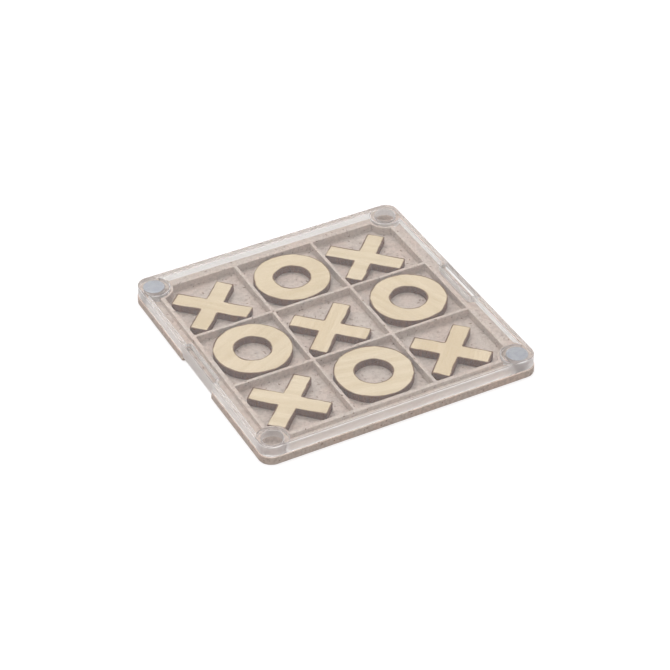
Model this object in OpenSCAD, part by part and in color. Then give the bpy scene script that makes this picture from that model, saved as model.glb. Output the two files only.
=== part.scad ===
// Travel tic-tac-toe set.
// A rimmed tray holds nine plywood pieces in a raised three-by-three grid. A clear lid stands on the
// tray's rim with a tab in each thumb notch, and disc magnets in two opposite corners hold it.
// Millimetres. The origin is the middle of the tray's underside, and +Z is up.
// The thumb notches are on the -X and +X sides.

/* [Tray] */
// Side of the square tray
tray_side = 110; // [108:0.5:130]
// Radius of the tray's four upright corners
corner_r = 5; // [4:0.1:5.6]
// Height of the ledge and rim that the lid stands on
rim_z = 3.3; // [3:0.1:4]
// Height of the floor of the nine cells
floor_z = 2; // [1.2:0.1:2.2]
// Height of the top of the frame and the grid ribs
grid_z = 5.2; // [5.1:0.1:6]

/* [Grid] */
// Distance from the middle of one cell to the next
cell_pitch = 32.2; // [31.5:0.1:32.4]
// Thickness of the ribs between the cells
rib_t = 1.3; // [0.8:0.1:1.4]
// Thickness of the frame around the cells
frame_t = 1.7; // [1:0.1:1.8]
// Thickness of the frame's wall where it bends around a corner boss
bend_t = 1; // [0.8:0.1:1.1]

/* [Thumb notches] */
// How far the upper part of each notch, which holds a tab of the lid, cuts into the side
notch_depth = 3.8; // [2.4:0.1:4]
// How far the lower part of each notch, the grip below the tab, cuts into the side
grip_depth = 1.2; // [0.8:0.1:2]
// Length of a notch along the side
notch_len = 27; // [16:0.5:34]
// Height of the lower edge of the lid's tabs
tab_z = 1.6; // [0.8:0.1:2.4]

/* [Lid] */
// How far the lid's outline stays inside the tray's
lid_inset = 0.3; // [0.1:0.05:0.4]
// Thickness of the lid's clear top plate
plate_t = 1.6; // [1.2:0.1:2]
// Thickness of the lid's skirt
skirt_t = 1.5; // [1.2:0.1:2]
// Overall height of the closed set
closed_h = 8; // [7.8:0.1:9]

/* [Magnets] */
// Diameter of the disc magnets
magnet_d = 8; // [6:0.5:8]
// Thickness of the disc magnets
magnet_t = 2; // [1:0.1:2.4]
// Distance of the magnets' axes from the tray's sides
magnet_in = 6; // [5.8:0.1:6.2]
// How much wider a pocket is than its magnet
pocket_play = 0.2; // [0.1:0.05:0.4]

/* [Game pieces] */
// Thickness of the plywood
ply_t = 3; // [2:0.1:3.1]
// Length of a cross's arms from tip to tip
cross_len = 29.6; // [24:0.1:30]
// Width of a cross's arms
cross_w = 6.9; // [5:0.1:8]
// Radius at the corners of a cross's arms
cross_tip_r = 0.5; // [0.2:0.1:1]
// Outer diameter of a nought
nought_d = 29; // [26:0.1:29]
// Diameter of a nought's hole
nought_hole_d = 13.6; // [12:0.1:16]

/* [Hidden] */
$fn = 96;
// Clearance between parts that stand on or beside each other and come apart
rest_gap = 0.05;
// Gap between a lid boss and the hollow in the frame around it
boss_gap = 0.4;
// Gap between a lid tab and the notch around it
tab_gap = 0.25;
// How much shorter the lower part of a notch is at each end
grip_inset = 1;
// Extra length of a cutting shape past the face it cuts
over = 1;

boss_at = tray_side / 2 - magnet_in;              // corner bosses, magnets and pockets, from the middle
lid_corner_r = corner_r - lid_inset;
boss_r = magnet_in - lid_inset;
frame_in = 1.5 * cell_pitch - rib_t / 2;          // inner face of the frame, from the middle
frame_out = frame_in + frame_t;
hollow_r = boss_r + boss_gap;                     // hollow in the frame's corner, around a boss
pocket_d = magnet_d + pocket_play;
plate_z = closed_h - plate_t;                     // underside of the lid's plate
skirt_z = rim_z + rest_gap;                       // lower edge of the skirt and the bosses
step_z = tab_z - rest_gap;                        // ledge in a notch, under the tab
piece_z = floor_z + rest_gap;
cell_half = (cell_pitch - rib_t) / 2;
cross_play = cell_half - (cross_len + cross_w) * cos(45) / 2;   // free space beside a centred cross
nought_play = cell_half - nought_d / 2;                         // the same for a nought

// Where each cross lies: [cell column, cell row], then how far it has slid from the cell's middle
// along X and Y, as a share of the free space
CROSSES = [
    [[-1, -1], [-0.75, -0.21]],
    [[ 1, -1], [-0.79, -0.93]],
    [[ 0,  0], [-0.79, -0.85]],
    [[-1,  1], [-0.83, -0.93]],
    [[ 1,  1], [-0.92, -0.93]]
];
// The same for each nought
NOUGHTS = [
    [[ 0, -1], [-0.16,  0.17]],
    [[-1,  0], [-0.14, -0.04]],
    [[ 1,  0], [-0.18,  0.06]],
    [[ 0,  1], [-0.26, -0.50]]
];

// Square of the given side with round corners of radius r
module rounded_square(side, r) {
    square([side - 2 * r, side], center = true);
    square([side, side - 2 * r], center = true);
    for (sx = [-1, 1], sy = [-1, 1])
        translate([sx * (side / 2 - r), sy * (side / 2 - r)]) circle(r);
}

// A disc of diameter d at each of the four corner boss centres
module corner_discs(d) {
    for (sx = [-1, 1], sy = [-1, 1])
        translate([sx * boss_at, sy * boss_at]) circle(d = d);
}

// Thumb notch in the +X side, depth deep and len long: a straight bottom that turns out to the edge
// in an S at each end. Its outline is drawn gap inside the notch.
module notch_outline(depth, len, gap = 0) {
    r = depth / 2;
    mid = tray_side / 2 - r;
    half = len / 2 - depth;                       // half of the straight stretch
    translate([mid - r + gap, -half]) square([depth + over, 2 * half]);
    translate([mid, -half - r + gap]) square([r + over, 2 * (half + r - gap)]);
    for (s = [-1, 1]) {
        translate([mid, s * half]) circle(r - gap);
        difference() {
            translate([mid, s > 0 ? half + r - gap : -half - depth]) square([r + over, r + gap]);
            translate([mid, s * (half + depth)]) circle(r + gap);
        }
    }
}

// Outline of one layer of the tray, with both thumb notches
module tray_outline(depth, len) {
    difference() {
        rounded_square(tray_side, corner_r);
        notch_outline(depth, len);
        mirror([1, 0]) notch_outline(depth, len);
    }
}

// A square that reaches half_side from the middle, hollowed at its corners around the lid's bosses
module frame_outline(half_side, corner_hollow_r) {
    difference() {
        square(2 * half_side, center = true);
        corner_discs(2 * corner_hollow_r);
    }
}

module base_tray() {
    color([0.80, 0.74, 0.70]) {
        // Ledge and rim, with the cells sunk into them
        difference() {
            union() {
                linear_extrude(step_z) tray_outline(grip_depth, notch_len - 2 * grip_inset);
                translate([0, 0, step_z]) linear_extrude(rim_z - step_z)
                    tray_outline(notch_depth, notch_len);
            }
            translate([0, 0, floor_z]) linear_extrude(grid_z)
                frame_outline(frame_in, hollow_r + bend_t);
            translate([0, 0, rim_z - magnet_t]) linear_extrude(grid_z) corner_discs(pocket_d);
        }
        // Frame
        translate([0, 0, floor_z]) linear_extrude(grid_z - floor_z) difference() {
            frame_outline(frame_out, hollow_r);
            frame_outline(frame_in, hollow_r + bend_t);
        }
        // Ribs
        for (turn = [0, 90], s = [-0.5, 0.5])
            rotate(turn) translate([s * cell_pitch - rib_t / 2, -frame_in, floor_z])
                cube([rib_t, 2 * frame_in, grid_z - floor_z]);
    }
}

module lid_cover() {
    lid_side = tray_side - 2 * lid_inset;
    color([0.86, 0.88, 0.90, 0.35]) {
        // Top plate
        translate([0, 0, plate_z]) linear_extrude(plate_t) rounded_square(lid_side, lid_corner_r);
        // Skirt and bosses, with a pocket up into each boss
        translate([0, 0, skirt_z]) linear_extrude(plate_z - skirt_z) difference() {
            union() {
                difference() {
                    rounded_square(lid_side, lid_corner_r);
                    square(lid_side - 2 * skirt_t, center = true);
                }
                corner_discs(2 * boss_r);
            }
            corner_discs(pocket_d);
        }
        // Tabs that fill the upper parts of the thumb notches
        for (turn = [0, 180])
            rotate(turn) translate([0, 0, tab_z]) linear_extrude(plate_z - tab_z) intersection() {
                rounded_square(lid_side, lid_corner_r);
                notch_outline(notch_depth, notch_len, tab_gap);
            }
    }
}

// One disc magnet on the axis of a corner boss, standing at height z
module magnet(sx, sy, z) {
    color([0.72, 0.74, 0.78])
        translate([sx * boss_at, sy * boss_at, z]) cylinder(d = magnet_d, h = magnet_t);
}

// One arm of a cross, lying along X, with rounded tips
module cross_arm() {
    square([cross_len - 2 * cross_tip_r, cross_w], center = true);
    square([cross_len, cross_w - 2 * cross_tip_r], center = true);
    for (sx = [-1, 1], sy = [-1, 1])
        translate([sx * (cross_len / 2 - cross_tip_r), sy * (cross_w / 2 - cross_tip_r)])
            circle(cross_tip_r);
}

// Moves a game piece to its cell, and off the cell's middle by its share of the free space, play
module in_cell(place, play) {
    translate([
        place[0][0] * cell_pitch + place[1][0] * play,
        place[0][1] * cell_pitch + place[1][1] * play,
        piece_z
    ]) children();
}

module cross(place) {
    color([0.90, 0.83, 0.70]) in_cell(place, cross_play) linear_extrude(ply_t) {
        rotate(45) cross_arm();
        rotate(-45) cross_arm();
    }
}

module nought(place) {
    color([0.90, 0.83, 0.70]) in_cell(place, nought_play) linear_extrude(ply_t) difference() {
        circle(d = nought_d);
        circle(d = nought_hole_d);
    }
}

base_tray();
magnet(-1, 1, rim_z - magnet_t);  // base_magnet_left
magnet(1, -1, rim_z - magnet_t);  // base_magnet_right
lid_cover();
magnet(-1, 1, plate_z - magnet_t);  // lid_magnet_left
magnet(1, -1, plate_z - magnet_t);  // lid_magnet_right
cross(CROSSES[0]);  // cross_front_left
cross(CROSSES[1]);  // cross_front_right
cross(CROSSES[2]);  // cross_centre
cross(CROSSES[3]);  // cross_back_left
cross(CROSSES[4]);  // cross_back_right
nought(NOUGHTS[0]);  // nought_front
nought(NOUGHTS[1]);  // nought_left
nought(NOUGHTS[2]);  // nought_right
nought(NOUGHTS[3]);  // nought_back
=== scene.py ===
import math

import bmesh
import bpy
from mathutils import Matrix, Vector


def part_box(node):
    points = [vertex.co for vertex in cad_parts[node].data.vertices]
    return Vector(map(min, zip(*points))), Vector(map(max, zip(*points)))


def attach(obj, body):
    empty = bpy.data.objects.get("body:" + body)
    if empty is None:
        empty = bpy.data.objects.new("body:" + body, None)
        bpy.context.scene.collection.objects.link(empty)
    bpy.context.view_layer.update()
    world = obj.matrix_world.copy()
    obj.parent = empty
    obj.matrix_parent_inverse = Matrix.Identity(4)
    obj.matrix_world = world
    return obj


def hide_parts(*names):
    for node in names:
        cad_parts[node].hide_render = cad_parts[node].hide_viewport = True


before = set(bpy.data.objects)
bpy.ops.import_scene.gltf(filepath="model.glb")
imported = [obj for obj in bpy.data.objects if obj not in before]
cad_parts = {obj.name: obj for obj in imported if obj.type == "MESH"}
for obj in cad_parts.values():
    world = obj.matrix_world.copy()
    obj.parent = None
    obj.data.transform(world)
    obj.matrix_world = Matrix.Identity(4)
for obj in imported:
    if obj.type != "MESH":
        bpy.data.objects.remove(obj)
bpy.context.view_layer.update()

MM = 0.001               # metres in a millimetre; the sizes in this script are millimetres
REST_GAP = 0.05          # between parts that stand on each other
POCKET_PLAY = 0.2        # how much wider a pocket is than its magnet


# ---------------------------------------------------------------- sizes, from the frame where it has them

def size_of(node):
    low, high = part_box(node)
    return (high - low) / MM


def middle_of(node):
    low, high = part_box(node)
    return (low + high) / 2 / MM


TRAY_SIDE = size_of("base_tray").x
GRID_Z = size_of("base_tray").z              # top of the frame and ribs
LID_SIDE = size_of("lid_cover").x
TAB_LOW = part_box("lid_cover")[0].z / MM      # lower edge of the tabs in the thumb notches
LID_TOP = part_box("lid_cover")[1].z / MM
MAGNET_D = size_of("lid_magnet_left").x
PLATE_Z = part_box("lid_magnet_left")[1].z / MM    # underside of the lid's plate
RIM_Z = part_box("base_magnet_left")[1].z / MM     # the ledge and rim
LID_LOW = RIM_Z + REST_GAP                       # lower edge of the skirt
POCKET_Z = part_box("base_magnet_left")[0].z / MM  # bottom of the tray's pockets
BOSS_AT = middle_of("lid_magnet_right").x        # corner bosses, from the middle
PIECE_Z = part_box("cross_centre")[0].z / MM
PLY_T = size_of("cross_centre").z
NOUGHT_R = size_of("nought_front").x / 2

CORNER_R = 5.0
LID_CORNER_R = CORNER_R - (TRAY_SIDE - LID_SIDE) / 2
BOSS_R = LID_SIDE / 2 - BOSS_AT
FLOOR_Z = 2.0            # floor of the cells
CELL_PITCH = 32.2
RIB_T = 1.3
FRAME_T = 1.7
BEND_T = 1.0             # the frame's wall where it bends around a boss
SKIRT_T = 1.5
FILLET_R = 0.7           # between the lid's plate and its skirt
BOSS_GAP = 0.4           # between a boss and the frame's hollow corner
POCKET_R = MAGNET_D / 2 + POCKET_PLAY / 2
NOTCH_DEPTH = 3.8        # upper part of a thumb notch, which holds a tab of the lid
NOTCH_LEN = 27.0
NOTCH_BEND = NOTCH_DEPTH / 2     # radius of both bends at each end
NOTCH_HALF = NOTCH_LEN / 2 - NOTCH_BEND      # from the notch's middle to halfway down an end
GRIP_DEPTH = 1.2         # lower part of a thumb notch
GRIP_INSET = 1.0         # how much shorter that part is at each end
GRIP_LEN = NOTCH_LEN - 2 * GRIP_INSET
STEP_Z = TAB_LOW - REST_GAP      # ledge between the two parts
TAB_GAP = 0.25           # between a tab of the lid and the notch around it
GLUE_GAP = 0.03          # between the lid's plate and a magnet
PAD_OVERLAP = 0.2        # how far the skirt's pad reaches past its tab at each end
CROSS_LEN = 29.6
CROSS_W = 6.9
CROSS_TIP_R = 0.5
NOUGHT_HOLE_R = 6.8

CELL_HALF = (CELL_PITCH - RIB_T) / 2
FRAME_IN = CELL_PITCH + CELL_HALF
FRAME_OUT = FRAME_IN + FRAME_T
HOLLOW_R = BOSS_R + BOSS_GAP

EDGE_STEPS = 3           # segments in a rounded edge
CORNER_STEPS = 10        # segments in a rounded corner of an outline
HOLLOW_STEPS = 28        # segments in the arc round a boss
CIRCLE_STEPS = 96
LEAST_R = 0.02           # the smallest radius that a corner of an outline shrinks to


# ---------------------------------------------------------------- outlines

def arc(x, y, r, start, stop, steps):
    """Points on a circle about (x, y), from angle start to stop in degrees."""
    angles = [math.radians(start + (stop - start) * k / steps) for k in range(steps + 1)]
    return [(x + r * math.cos(a), y + r * math.sin(a)) for a in angles]


def circle(x, y, r):
    """Outline of a circle, as a function of how far it is moved outward."""
    return lambda grow=0.0: arc(x, y, r + grow, 0, 360, CIRCLE_STEPS)[:-1]


def turned(points, degrees, x=0.0, y=0.0):
    """Points turned about the origin and then moved to (x, y)."""
    c, s = math.cos(math.radians(degrees)), math.sin(math.radians(degrees))
    return [(x + px * c - py * s, y + px * s + py * c) for px, py in points]


def rounded(corners, steps=CORNER_STEPS):
    """Outline of a polygon whose corners (x, y, radius) run anticlockwise, as a function of how far
    it is moved outward."""
    def outline(grow=0.0):
        points = []
        for i, (x, y, r) in enumerate(corners):
            here = Vector((x, y))
            into = (here - Vector(corners[i - 1][:2])).normalized()
            away = (Vector(corners[(i + 1) % len(corners)][:2]) - here).normalized()
            n1, n2 = Vector((into.y, -into.x)), Vector((away.y, -away.x))
            side = 1 if into.x * away.y - into.y * away.x > 0 else -1
            share = 1 + n1.dot(n2)
            radius = max(r + side * grow, LEAST_R)
            centre = here + (n1 + n2) * ((grow - side * radius) / share)
            a1 = math.degrees(math.atan2(side * n1.y, side * n1.x))
            a2 = math.degrees(math.atan2(side * n2.y, side * n2.x))
            turn = (a2 - a1 + 180) % 360 - 180
            points += arc(centre.x, centre.y, radius, a1, a1 + turn, steps)
        return points
    return outline


def rounded_square(side, r):
    h = side / 2
    return rounded([(h, -h, r), (h, h, r), (-h, h, r), (-h, -h, r)], 16)


def tray_edge(depth, length):
    """The tray's outer edge: a rounded square with a thumb notch on its -X and +X sides."""
    h, inner, half = TRAY_SIDE / 2, TRAY_SIDE / 2 - depth, (length - depth) / 2
    notch = [(h, -half), (inner, -half), (inner, half), (h, half)]
    right = [(h, -h, CORNER_R)] + [(x, y, depth / 2) for x, y in notch] + [(h, h, CORNER_R)]
    return rounded(right + [(-x, -y, r) for x, y, r in right])


def tab(side):
    """Outline of the lid's tab that fills the notch on the -X (side = -1) or +X (side = 1) side."""
    def outline(grow=0.0):
        x = TRAY_SIDE / 2 - NOTCH_BEND
        lip_r = NOTCH_BEND + TAB_GAP - grow
        tip_r = NOTCH_BEND - TAB_GAP + grow
        inset = 0.05                    # keeps the tab's outer face just inside the skirt's
        face = LID_SIDE / 2 - inset + grow
        lean = math.degrees(math.acos((face - x) / lip_r))
        lip = NOTCH_HALF + NOTCH_BEND
        flat = NOTCH_HALF - NOTCH_BEND
        points = arc(x, lip, lip_r, -lean, -90, CORNER_STEPS)[:-1]
        points += arc(x, flat, tip_r, 90, 180, CORNER_STEPS)
        points += arc(x, -flat, tip_r, 180, 270, CORNER_STEPS)
        points += arc(x, -lip, lip_r, 90, lean, CORNER_STEPS)[1:]
        return turned(points, 0 if side > 0 else 180)
    return outline


def hollowed_square(half, hollow_r, pad=None):
    """A square whose corners are hollowed by circles about the bosses. pad is where a pad on the -X
    and +X sides reaches in to: its distance from the middle."""
    def outline(grow=0.0):
        side, r = half + grow, hollow_r - grow
        lean = math.degrees(math.asin((side - BOSS_AT) / r))
        quarter = arc(BOSS_AT, BOSS_AT, r, -90 + lean, -180 - lean, HOLLOW_STEPS)
        points = []
        for k in range(4):
            if pad is not None and k in (0, 2):
                points += turned(pad_ends(half, pad)(grow), 90 * k)
            points += turned(quarter, 90 * k)
        return points
    return outline


def pad_ends(wall, pad):
    """The +X side of a cavity, where the tab's pad reaches in from wall to pad."""
    r, far = (wall - pad) / 2, wall
    reach = NOTCH_HALF + PAD_OVERLAP
    outline = rounded([(wall, -far, r), (wall, -reach, r), (pad, -reach, r), (pad, reach, r),
                       (wall, reach, r), (wall, far, r), (-far, far, r), (-far, -far, r)])
    count = CORNER_STEPS + 1
    return lambda grow: outline(grow)[count:5 * count]


def cell(column, row):
    """One cell of the grid. A corner cell gives way to the frame's hollow corner."""
    plan_r = 0.3
    x, y, h = column * CELL_PITCH, row * CELL_PITCH, CELL_HALF
    if column == 0 or row == 0:
        return rounded([(x + h, y - h, plan_r), (x + h, y + h, plan_r),
                        (x - h, y + h, plan_r), (x - h, y - h, plan_r)], EDGE_STEPS)
    quarter_turns = {(1, 1): 0, (-1, 1): 1, (-1, -1): 2, (1, -1): 3}[column, row]
    near, far = CELL_PITCH - h, CELL_PITCH + h
    square = rounded([(far, near, plan_r), (far, far, plan_r),
                      (near, far, plan_r), (near, near, plan_r)], EDGE_STEPS)

    def outline(grow=0.0):
        side, r = far + grow, HOLLOW_R + BEND_T - grow
        lean = math.degrees(math.asin((side - BOSS_AT) / r))
        points = square(grow)
        step = EDGE_STEPS + 1
        hollow = arc(BOSS_AT, BOSS_AT, r, -90 + lean, -180 - lean, HOLLOW_STEPS)
        return turned(points[:step] + hollow + points[2 * step:], 90 * quarter_turns)
    return outline


# ---------------------------------------------------------------- meshes

def bend(grow_1, z_1, grow_2, z_2, flat_first, count=EDGE_STEPS):
    """Steps (grow, z) of a quarter-round edge. It leaves the first point flat or upright."""
    steps = []
    for k in range(count + 1):
        a = math.pi / 2 * k / count
        slow, quick = 1 - math.cos(a), math.sin(a)
        across, up = (quick, slow) if flat_first else (slow, quick)
        steps.append((grow_1 + (grow_2 - grow_1) * across, z_1 + (z_2 - z_1) * up))
    return steps


class Solid:
    """A closed mesh built from walls that follow an outline, and flat caps between outlines. Its
    vertices carry a mark for the material: 1 on a charred edge or in a pocket (matte there, and
    painted a darker grey as painted shade), 0 elsewhere."""

    def __init__(self):
        self.bm = bmesh.new()
        self.mark = self.bm.verts.layers.float.new("mark")

    def ring(self, points, z, mark=0.0):
        verts = [self.bm.verts.new((x * MM, y * MM, z * MM)) for x, y in points]
        for v in verts:
            v[self.mark] = mark
        return verts

    def join(self, ring_1, ring_2):
        for k in range(len(ring_1)):
            self.bm.faces.new((ring_1[k - 1], ring_1[k], ring_2[k], ring_2[k - 1]))

    def wall(self, outline, steps):
        """Walls between the outline at each step (grow, z) or (grow, z, mark). Returns the end rings."""
        rings = [self.ring(outline(s[0]), *s[1:]) for s in steps]
        for ring_1, ring_2 in zip(rings, rings[1:]):
            self.join(ring_1, ring_2)
        return rings[0], rings[-1]

    def cap(self, *rings):
        """A flat face inside the first ring and outside the others."""
        edges = [self.bm.edges.get((r[k - 1], r[k])) or self.bm.edges.new((r[k - 1], r[k]))
                 for r in rings for k in range(len(r))]
        bmesh.ops.triangle_fill(self.bm, use_beauty=True, use_dissolve=False, edges=edges)

    def piece(self, name, body, node, material):
        """Makes the object, lets it ride on its body and stand for its CAD node."""
        bmesh.ops.recalc_face_normals(self.bm, faces=self.bm.faces)
        mesh = bpy.data.meshes.new(name)
        self.bm.to_mesh(mesh)
        self.bm.free()
        mesh.polygons.foreach_set("use_smooth", [True] * len(mesh.polygons))
        mesh.materials.append(material)
        obj = bpy.data.objects.new(name, mesh)
        bpy.context.scene.collection.objects.link(obj)
        normals = obj.modifiers.new("flat_faces", "WEIGHTED_NORMAL")
        normals.weight = 100
        normals.keep_sharp = True
        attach(obj, body)
        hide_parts(node)
        return obj


def make_tray(material):
    foot_r, rim_r, top_r, floor_r, mouth_r = 0.35, 0.35, 0.25, 0.25, 0.15
    s = Solid()
    under, step = s.wall(tray_edge(GRIP_DEPTH, GRIP_LEN),
                         bend(-foot_r, 0, 0, foot_r, True) + [(0, STEP_Z)])
    s.cap(under)
    ledge, rim = s.wall(tray_edge(NOTCH_DEPTH, NOTCH_LEN),
                        [(0, STEP_Z)] + bend(0, RIM_Z - rim_r, -rim_r, RIM_Z, False))
    s.join(step, ledge)
    bmesh.ops.remove_doubles(s.bm, verts=step + ledge, dist=1e-7)
    base, crest = s.wall(hollowed_square(FRAME_OUT, HOLLOW_R),
                         bend(floor_r, RIM_Z, 0, RIM_Z + floor_r, True)
                         + bend(0, GRID_Z - top_r, -top_r, GRID_Z, False))
    mouths = []
    for sx in (-1, 1):
        for sy in (-1, 1):
            mouth, bottom = s.wall(circle(sx * BOSS_AT, sy * BOSS_AT, POCKET_R),
                                   bend(mouth_r, RIM_Z, 0, RIM_Z - mouth_r, True)
                                   + [(0, POCKET_Z)])
            s.cap(bottom)
            mouths.append(mouth)
    s.cap(rim, base, *mouths)
    openings = []
    for column in (-1, 0, 1):
        for row in (-1, 0, 1):
            opening, floor = s.wall(cell(column, row),
                                    bend(top_r, GRID_Z, 0, GRID_Z - top_r, True)
                                    + bend(0, FLOOR_Z + floor_r, -floor_r, FLOOR_Z, False))
            s.cap(floor)
            openings.append(opening)
    s.cap(crest, *openings)
    return s.piece("tray", "tray", "base_tray", material)


def make_lid(material):
    foot_r, crest_r, ceiling_r = 0.12, 0.4, 0.3
    neck = 0.16                     # how much a tab narrows where it joins the skirt
    fillet_steps = 5
    s = Solid()
    foot, crest = s.wall(rounded_square(LID_SIDE, LID_CORNER_R),
                         bend(-foot_r, LID_LOW, 0, LID_LOW + foot_r, True)
                         + bend(0, LID_TOP - crest_r, -crest_r, LID_TOP, False))
    s.cap(crest)
    pad = TRAY_SIDE / 2 - NOTCH_DEPTH + TAB_GAP
    mouth, ceiling = s.wall(hollowed_square(LID_SIDE / 2 - SKIRT_T, BOSS_R, pad),
                            bend(foot_r, LID_LOW, 0, LID_LOW + foot_r, True)
                            + bend(0, PLATE_Z - FILLET_R, -FILLET_R, PLATE_Z, False, fillet_steps))
    s.cap(ceiling)
    mouths = [mouth]
    for side in (-1, 1):
        for end in (-1, 1):
            # The pocket walls carry mark 1: they are made matte and painted a darker grey as painted
            # shade.
            pocket = (bend(foot_r, LID_LOW, 0, LID_LOW + foot_r, True)
                      + bend(0, PLATE_Z - ceiling_r, -ceiling_r, PLATE_Z, False))
            low, high = s.wall(circle(side * BOSS_AT, end * BOSS_AT, POCKET_R),
                               [(g, z, 1.0) for g, z in pocket])
            s.cap(high)
            mouths.append(low)
        under, top = s.wall(tab(side), bend(-foot_r, TAB_LOW, 0, TAB_LOW + foot_r, True)
                            + [(0, LID_LOW - neck), (-neck, LID_LOW)])
        s.cap(under)
        mouths.append(top)
    s.cap(foot, *mouths)
    return s.piece("clear_lid", "lid", "lid_cover", material)


def wood_profile(z_low, z_high):
    """Steps (grow, z, mark) up the outside of a laser-cut piece. The mark, how charred the wood is,
    is 1 on the cut edge and fades over the faces."""
    r, scorch, fade = 0.07, 0.32, 0.8
    under = [(-fade, z_low, 0.0), (-scorch, z_low, 0.8)]
    under += [(g, z, 1.0) for g, z in bend(-r, z_low, 0, z_low + r, True)]
    top = [(g, z, 1.0) for g, z in bend(0, z_high - r, -r, z_high, False)]
    return under + top + [(-scorch, z_high, 0.8), (-fade, z_high, 0.0)]


def make_cross(node, material):
    half, w = CROSS_LEN / 2, CROSS_W / 2
    inner_r = 0.25                  # in the corners between the arms
    arm = [(half, -w, CROSS_TIP_R), (half, w, CROSS_TIP_R), (w, w, inner_r)]
    corners = []
    for k in range(4):
        for (x, y), (_, _, r) in zip(turned([c[:2] for c in arm], 90 * k), arm):
            corners.append((x, y, r))
    plus = rounded(corners, 4)
    m = middle_of(node)
    s = Solid()
    under, top = s.wall(lambda grow: turned(plus(grow), 45, m.x, m.y),
                        wood_profile(PIECE_Z, PIECE_Z + PLY_T))
    s.cap(under)
    s.cap(top)
    return s.piece("x_" + node.replace("cross_", ""), node, node, material)


def make_nought(node, material):
    m = middle_of(node)
    s = Solid()
    profile = wood_profile(PIECE_Z, PIECE_Z + PLY_T)
    outer = s.wall(circle(m.x, m.y, NOUGHT_R), profile)
    inner = s.wall(lambda grow: circle(m.x, m.y, NOUGHT_HOLE_R)(-grow), profile)
    s.join(outer[0], inner[0])
    s.join(outer[1], inner[1])
    return s.piece("o_" + node.replace("nought_", ""), node, node, material)


def make_magnet(node, body, drop, material):
    """A plated disc magnet with rounded edges, drop lower than its CAD node."""
    edge_r = 0.25
    low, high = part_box(node)
    m = middle_of(node)
    z_low, z_high = low.z / MM - drop, high.z / MM - drop
    s = Solid()
    under, top = s.wall(circle(m.x, m.y, MAGNET_D / 2),
                        bend(-edge_r, z_low, 0, z_low + edge_r, True)
                        + bend(0, z_high - edge_r, -edge_r, z_high, False))
    s.cap(under)
    s.cap(top)
    return s.piece(node.replace("magnet", "disc"), body, node, material)


# ---------------------------------------------------------------- materials

class Tree:
    """A material's node tree, with short calls for the nodes used here."""

    def __init__(self, name):
        self.material = bpy.data.materials.new(name)
        self.material.use_nodes = True
        self.nodes = self.material.node_tree.nodes
        self.links = self.material.node_tree.links
        self.nodes.clear()
        place = self.add("ShaderNodeTexCoord").outputs["Object"]
        self.mm = self.vector("SCALE", place, scale=1 / MM)      # the surface point in millimetres

    def add(self, kind, inputs=None, **settings):
        node = self.nodes.new(kind)
        for key, value in settings.items():
            setattr(node, key, value)
        for key, value in (inputs or {}).items():
            self.put(node.inputs[key], value)
        return node

    def put(self, socket, value):
        if isinstance(value, bpy.types.NodeSocket):
            self.links.new(value, socket)
        else:
            socket.default_value = value

    def vector(self, operation, a, b=None, scale=None):
        node = self.add("ShaderNodeVectorMath", operation=operation)
        self.put(node.inputs[0], a)
        if b is not None:
            self.put(node.inputs[1], b)
        if scale is not None:
            node.inputs["Scale"].default_value = scale
        return node.outputs[0]

    def math(self, operation, a, b=0.0, clamp=False):
        node = self.add("ShaderNodeMath", operation=operation, use_clamp=clamp)
        self.put(node.inputs[0], a)
        self.put(node.inputs[1], b)
        return node.outputs[0]

    def span(self, value, low, high, to_low=0.0, to_high=1.0):
        """value from low to high mapped smoothly to to_low to to_high."""
        node = self.add("ShaderNodeMapRange", interpolation_type="SMOOTHSTEP")
        for key, v in zip(("Value", "From Min", "From Max", "To Min", "To Max"),
                          (value, low, high, to_low, to_high)):
            self.put(node.inputs[key], v)
        return node.outputs["Result"]

    def mix(self, factor, a, b, blend="MIX"):
        node = self.add("ShaderNodeMix", data_type="RGBA", blend_type=blend)
        self.put(node.inputs[0], factor)
        self.put(node.inputs[6], a)
        self.put(node.inputs[7], b)
        return node.outputs[2]

    def noise(self, place, scale, detail=2.0, roughness=0.5):
        return self.add("ShaderNodeTexNoise", {"Vector": place, "Scale": scale, "Detail": detail,
                                               "Roughness": roughness}).outputs["Fac"]

    def stretched(self, turn, stretch, shift=(0, 0, 0)):
        """Millimetre coordinates turned about Z by turn degrees, then scaled along each axis."""
        node = self.add("ShaderNodeMapping", {
            "Vector": self.mm, "Rotation": (0, 0, math.radians(turn)), "Location": shift})
        return self.vector("MULTIPLY", node.outputs[0], stretch)

    def bump(self, height, strength, distance, normal=None):
        """distance is the height in metres that a height of 1 stands for."""
        inputs = {"Height": height, "Strength": strength, "Distance": distance}
        if normal is not None:
            inputs["Normal"] = normal
        return self.add("ShaderNodeBump", inputs).outputs["Normal"]

    def finish(self, shader):
        self.add("ShaderNodeOutputMaterial", {"Surface": shader})
        return self.material


def rgb(r, g, b):
    """Scene-linear colour from 0-255 display values."""
    return tuple((v / 255 / 12.92) if v <= 10 else ((v / 255 + 0.055) / 1.055) ** 2.4
                 for v in (r, g, b)) + (1.0,)


def flecks(t, turn, stretch, share, radius, shift):
    """1 on scattered flecks: in a share of the cells of a stretched Voronoi pattern, within radius."""
    node = t.add("ShaderNodeTexVoronoi", {
        "Vector": t.stretched(turn, stretch, shift), "Scale": 1.0, "Randomness": 1.0})
    chosen = t.math("LESS_THAN", t.add("ShaderNodeSeparateColor", {
        "Color": node.outputs["Color"]}).outputs[0], share)
    near = t.span(node.outputs["Distance"], radius * 0.55, radius, 1.0, 0.0)
    return t.math("MULTIPLY", chosen, near)


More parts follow.
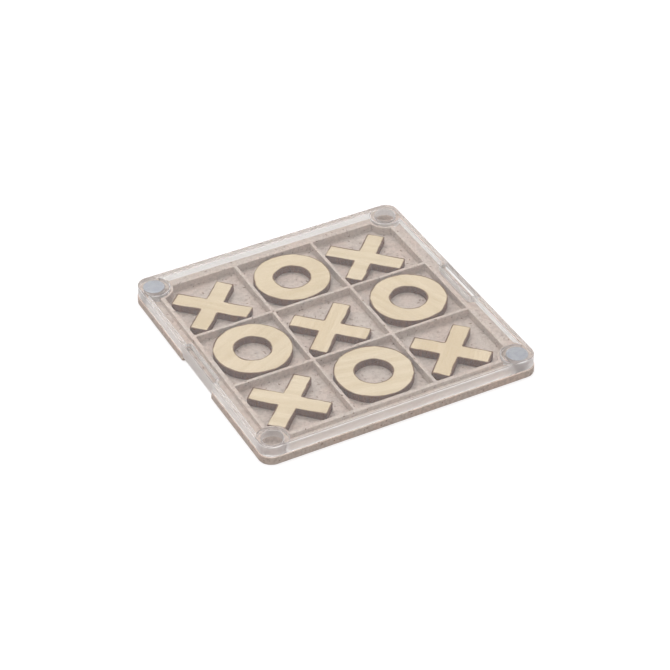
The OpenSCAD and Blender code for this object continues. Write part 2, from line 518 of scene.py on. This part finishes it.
def tray_plastic():
    """Moulded plastic filled with ground straw: a pinkish greige with brown and pale flecks."""
    t = Tree("straw_plastic")
    clouds = t.noise(t.mm, 0.12, 3.0)
    mottle = t.noise(t.mm, 0.8, 4.0, 0.6)
    colour = t.mix(t.span(clouds, 0.35, 0.65), rgb(204, 187, 176), rgb(199, 188, 179))
    colour = t.mix(t.span(mottle, 0.44, 0.60, 0.0, 0.6), colour, rgb(174, 160, 151))
    dark = None
    for turn, stretch, share, radius, shift in (
            (20, (0.30, 0.75, 0.75), 0.30, 0.24, (3, 1, 0)),
            (-50, (0.33, 0.85, 0.85), 0.30, 0.24, (7, 4, 0)),
            (80, (0.28, 0.80, 0.80), 0.25, 0.24, (1, 9, 0)),
            (0, (0.6, 0.6, 0.6), 0.22, 0.20, (5, 5, 0))):
        layer = flecks(t, turn, stretch, share, radius, shift)
        dark = layer if dark is None else t.math("MAXIMUM", dark, layer)
    pale = t.math("MAXIMUM", flecks(t, 50, (0.30, 0.9, 0.9), 0.3, 0.25, (2, 8, 0)),
                  flecks(t, -15, (0.35, 0.8, 0.8), 0.25, 0.25, (6, 2, 0)))
    depth = t.noise(t.mm, 0.35, 1.0)            # how near the surface a fleck lies
    colour = t.mix(t.math("MULTIPLY", dark, t.span(depth, 0.35, 0.65, 0.3, 0.95)),
                   colour, rgb(104, 76, 58))
    colour = t.mix(t.math("MULTIPLY", pale, 0.5), colour, rgb(216, 205, 190))
    fine = t.noise(t.mm, 7.0, 3.0, 0.6)
    height = t.math("ADD", t.math("MULTIPLY", fine, 0.6), t.math("MULTIPLY", mottle, 0.8))
    height = t.math("SUBTRACT", height, t.math("MULTIPLY", dark, 0.25))
    rough = t.math("ADD", t.span(mottle, 0.3, 0.7, 0.40, 0.52), t.math("MULTIPLY", dark, 0.1))
    return t.finish(t.add("ShaderNodeBsdfPrincipled", {
        "Base Color": colour, "Roughness": rough, "Specular IOR Level": 0.25,
        "Normal": t.bump(height, 0.35, 0.00003)}).outputs[0])


def hairlines(t):
    """1 on a few long hairline scratches."""
    hairs = None
    for turn, shift in ((12, (0, 3, 0)), (-38, (4, 0, 0)), (64, (9, 5, 0))):
        line = t.noise(t.stretched(turn, (0.05, 9.0, 0.05), shift), 1.0, 1.0)
        line = t.span(line, 0.72, 0.76)
        hairs = line if hairs is None else t.math("MAXIMUM", hairs, line)
    return hairs


def frosting_with_pocket_shade(t, upright):
    """A matte shader for the lid's walls, near white except in the pockets, where its darker grey is
    painted shade; and how much of it shows: little on the skirt, more on the tabs, and most in the
    pockets."""
    mark = t.add("ShaderNodeAttribute", attribute_name="mark").outputs["Fac"]      # 1 in the pockets
    place = t.add("ShaderNodeSeparateXYZ", {"Vector": t.mm}).outputs
    on_tab = t.math("MULTIPLY",
                    t.math("LESS_THAN", t.math("ABSOLUTE", place["Y"]), NOTCH_HALF + 1.5),
                    t.math("GREATER_THAN", t.math("ABSOLUTE", place["X"]), BOSS_AT))
    matte = t.math("MAXIMUM", mark, t.math("MULTIPLY", on_tab, 0.6))
    # In the pockets the matte colour is a darker grey: painted shade for the hollow pockets.
    frost_with_pocket_shade = t.add("ShaderNodeBsdfDiffuse", {
        "Color": t.mix(mark, rgb(228, 224, 222), rgb(188, 180, 178))}).outputs[0]
    return frost_with_pocket_shade, t.math("MULTIPLY", upright, t.span(matte, 0.0, 1.0, 0.17, 0.65))


def clear_plastic():
    """Clear plastic: a polished plate and duller, rippled walls, with hairline scratches and finger
    haze. Light passes straight through it, and so does a ray that has been trapped in it."""
    t = Tree("clear_plastic")
    waves = t.noise(t.mm, 0.05, 1.0)
    haze = t.span(t.noise(t.mm, 0.12, 3.0, 0.6), 0.45, 0.75, 0.0, 0.05)
    up = t.add("ShaderNodeSeparateXYZ", {
        "Vector": t.add("ShaderNodeNewGeometry").outputs["Normal"]}).outputs["Z"]
    level = t.math("ABSOLUTE", up)
    upright = t.span(level, 0.35, 0.85, 1.0, 0.0)      # 1 on walls, 0 on the plate
    dull = t.span(level, 0.35, 0.85, 0.28, 0.02)
    rough = t.math("ADD", t.math("MULTIPLY", hairlines(t), 0.10), t.math("ADD", haze, dull))
    mould_lines = t.noise(t.vector("MULTIPLY", t.mm, (0.02, 0.02, 2.2)), 1.0, 2.0)
    ripple = t.bump(t.math("MULTIPLY", mould_lines, upright), 0.25, 0.00042,
                    t.bump(waves, 0.25, 0.0002))
    glass = t.add("ShaderNodeBsdfPrincipled", {
        "Base Color": rgb(236, 236, 235), "Roughness": rough, "IOR": 1.49,
        "Transmission Weight": 1.0, "Normal": ripple}).outputs[0]
    frost_with_pocket_shade, veil = frosting_with_pocket_shade(t, upright)
    surface = t.add("ShaderNodeMixShader", {0: veil, 1: glass, 2: frost_with_pocket_shade}).outputs[0]
    clear = t.add("ShaderNodeBsdfTransparent", {"Color": (0.96, 0.96, 0.96, 1.0)}).outputs[0]
    path = t.add("ShaderNodeLightPath")
    trapped = t.math("GREATER_THAN", path.outputs["Glossy Depth"], 2.5)
    bypass = t.math("MAXIMUM", path.outputs["Is Shadow Ray"], trapped)
    return t.finish(t.add("ShaderNodeMixShader", {0: bypass, 1: surface, 2: clear}).outputs[0])


def plywood(name, turn, tint):
    """Sanded plywood with fine grain, a scorched line at the cut edge and charred, striped sides."""
    t = Tree("plywood_" + name)
    burn = t.add("ShaderNodeAttribute", attribute_name="mark").outputs["Fac"]
    shift = (turn * 1.7, turn * 0.9, 0)
    grain = t.noise(t.stretched(turn, (0.12, 2.2, 2.2), shift), 1.0, 5.0, 0.65)
    bands = t.noise(t.stretched(turn, (0.02, 0.35, 0.35), shift), 1.0, 2.0)
    pores = t.noise(t.stretched(turn, (0.5, 9.0, 9.0), shift), 1.0, 2.0)
    face = t.mix(t.span(bands, 0.35, 0.65), rgb(222, 208, 181), rgb(213, 197, 166))
    face = t.mix(t.span(grain, 0.40, 0.70, 0.0, 0.45), face, rgb(203, 182, 148))
    face = t.mix(t.span(pores, 0.60, 0.75, 0.0, 0.35), face, rgb(180, 154, 118))
    face = t.mix(1.0, face, tint, "MULTIPLY")
    smoke = t.span(t.noise(t.vector("ADD", t.mm, shift), 0.16, 2.0), 0.35, 0.65, 0.0, 0.5)
    edge = t.span(t.math("ADD", burn, smoke), 0.55, 1.2, 0.0, 0.95)
    face = t.mix(edge, face, rgb(96, 58, 32))
    # The sides: veneers one above another, charred by the laser in fine upright streaks
    height = t.add("ShaderNodeSeparateXYZ", {"Vector": t.mm}).outputs["Z"]
    ply = t.math("PINGPONG", t.math("SUBTRACT", height, PIECE_Z), 1.0)
    veneer = t.span(ply, 0.85, 0.98)
    streaks = t.noise(t.vector("MULTIPLY", t.mm, (3.5, 3.5, 0.25)), 1.0, 4.0, 0.7)
    side = t.mix(t.span(streaks, 0.35, 0.70), rgb(68, 37, 22), rgb(128, 80, 49))
    side = t.mix(t.math("MULTIPLY", veneer, 0.5), side, rgb(62, 34, 20))
    up = t.add("ShaderNodeSeparateXYZ", {
        "Vector": t.add("ShaderNodeNewGeometry").outputs["True Normal"]}).outputs["Z"]
    flat = t.span(t.math("ABSOLUTE", up), 0.5, 0.95)
    colour = t.mix(flat, side, face)
    relief = t.mix(flat, t.math("ADD", streaks, t.math("MULTIPLY", veneer, -0.6)),
                   t.math("ADD", t.math("MULTIPLY", grain, 0.5), t.math("MULTIPLY", pores, 0.5)))
    rough = t.math("ADD", t.span(grain, 0.3, 0.7, 0.55, 0.68), t.math("MULTIPLY", burn, 0.12))
    return t.finish(t.add("ShaderNodeBsdfPrincipled", {
        "Base Color": colour, "Roughness": rough, "Specular IOR Level": 0.3,
        "Normal": t.bump(relief, 0.5, 0.00006)}).outputs[0])


def nickel():
    """Satin nickel plating with fine tumbling marks and dull patches."""
    t = Tree("nickel")
    marks = t.noise(t.mm, 5.0, 4.0, 0.7)
    patches = t.noise(t.mm, 0.5, 2.0)
    colour = t.mix(t.span(patches, 0.35, 0.65), rgb(164, 168, 175), rgb(153, 158, 167))
    rough = t.math("ADD", t.span(patches, 0.3, 0.7, 0.34, 0.46), t.math("MULTIPLY", marks, 0.08))
    return t.finish(t.add("ShaderNodeBsdfPrincipled", {
        "Base Color": colour, "Metallic": 1.0, "Roughness": rough,
        "Normal": t.bump(marks, 0.3, 0.00001)}).outputs[0])


def floor_white():
    t = Tree("floor_white")
    return t.finish(t.add("ShaderNodeBsdfPrincipled", {
        "Base Color": (0.4, 0.4, 0.4, 1.0), "Roughness": 0.9, "Specular IOR Level": 0.1,
        "Emission Color": (1.0, 1.0, 1.0, 1.0), "Emission Strength": 0.62}).outputs[0])


# ---------------------------------------------------------------- the object

make_tray(tray_plastic())
make_lid(clear_plastic())
metal = nickel()
make_magnet("lid_magnet_left", "lid", GLUE_GAP, metal)
make_magnet("lid_magnet_right", "lid", GLUE_GAP, metal)
make_magnet("base_magnet_left", "tray", 0.0, metal)
make_magnet("base_magnet_right", "tray", 0.0, metal)

# Grain direction in degrees, and tint, of each piece
WOOD = {
    "cross_front_left": (40, (1.0, 1.0, 1.0, 1.0)),
    "cross_front_right": (-48, (0.99, 0.97, 0.94, 1.0)),
    "cross_centre": (-45, (1.0, 0.985, 0.96, 1.0)),
    "cross_back_left": (47, (0.97, 0.96, 0.94, 1.0)),
    "cross_back_right": (44, (0.98, 0.98, 0.97, 1.0)),
    "nought_front": (12, (1.0, 1.0, 1.0, 1.0)),
    "nought_left": (-25, (0.98, 0.97, 0.95, 1.0)),
    "nought_right": (70, (0.99, 0.98, 0.96, 1.0)),
    "nought_back": (5, (0.97, 0.96, 0.93, 1.0)),
}
for node, (turn, tint) in WOOD.items():
    make = make_cross if node.startswith("cross") else make_nought
    make(node, plywood(node, turn, tint))


# ---------------------------------------------------------------- floor, light and camera

def make_floor():
    reach = 3.0
    drop = 0.00005                       # keeps it clear of the tray's underside
    mesh = bpy.data.meshes.new("floor")
    mesh.from_pydata([(-reach, -reach, 0), (reach, -reach, 0), (reach, reach, 0), (-reach, reach, 0)],
                     [], [(0, 1, 2, 3)])
    mesh.materials.append(floor_white())
    floor = bpy.data.objects.new("floor", mesh)
    floor.location.z = -drop
    floor.visible_diffuse = False        # the set is lit by the lights, not by a bright table
    bpy.context.scene.collection.objects.link(floor)


def make_light(name, place, size, power):
    light = bpy.data.lights.new(name, "AREA")
    light.shape = "DISK"
    light.size = size
    light.energy = power
    obj = bpy.data.objects.new(name, light)
    obj.location = place
    obj.rotation_euler = (-Vector(place)).to_track_quat("-Z", "Y").to_euler()
    bpy.context.scene.collection.objects.link(obj)


def make_world(below, horizon, overhead):
    """A soft dome, bright overhead, dimmer and warmer at the horizon and below it."""
    world = bpy.data.worlds.new("studio")
    world.use_nodes = True
    nodes, links = world.node_tree.nodes, world.node_tree.links
    background = nodes["Background"]
    place = nodes.new("ShaderNodeTexCoord")
    parts = nodes.new("ShaderNodeSeparateXYZ")
    ramp = nodes.new("ShaderNodeValToRGB")
    links.new(place.outputs["Generated"], parts.inputs[0])
    half = nodes.new("ShaderNodeMapRange")
    half.inputs["From Min"].default_value = -1.0
    links.new(parts.outputs["Z"], half.inputs["Value"])
    links.new(half.outputs["Result"], ramp.inputs[0])
    stops = ramp.color_ramp.elements
    stops[0].position, stops[0].color = 0.45, below
    stops[1].position, stops[1].color = 1.0, overhead
    middle = stops.new(0.55)
    middle.color = horizon
    links.new(ramp.outputs["Color"], background.inputs["Color"])
    bpy.context.scene.world = world


def make_camera():
    azimuth, elevation, roll = math.radians(-27.7), math.radians(37.9), math.radians(-0.3)
    distance, lens, sensor = 0.870, 127.5, 36.0
    target = Vector((0.0009, -0.0005, 0.0))
    away = Vector((math.sin(azimuth) * math.cos(elevation),
                   -math.cos(azimuth) * math.cos(elevation), math.sin(elevation)))
    data = bpy.data.cameras.new("camera")
    data.lens, data.sensor_width = lens, sensor
    data.clip_start, data.clip_end = 0.01, 20.0
    camera = bpy.data.objects.new("camera", data)
    turn = (-away).to_track_quat("-Z", "Y").to_matrix().to_4x4()
    place = Matrix.Translation(target + away * distance)
    camera.matrix_world = place @ turn @ Matrix.Rotation(roll, 4, "Z")
    bpy.context.scene.collection.objects.link(camera)
    bpy.context.scene.camera = camera


make_floor()
make_world((0.11, 0.08, 0.06, 1.0), (0.76, 0.70, 0.66, 1.0), (1.58, 1.56, 1.59, 1.0))
make_light("key", (0.0, 0.6, 1.25), 0.6, 3.9)
make_camera()
bpy.context.scene.view_settings.view_transform = "Standard"
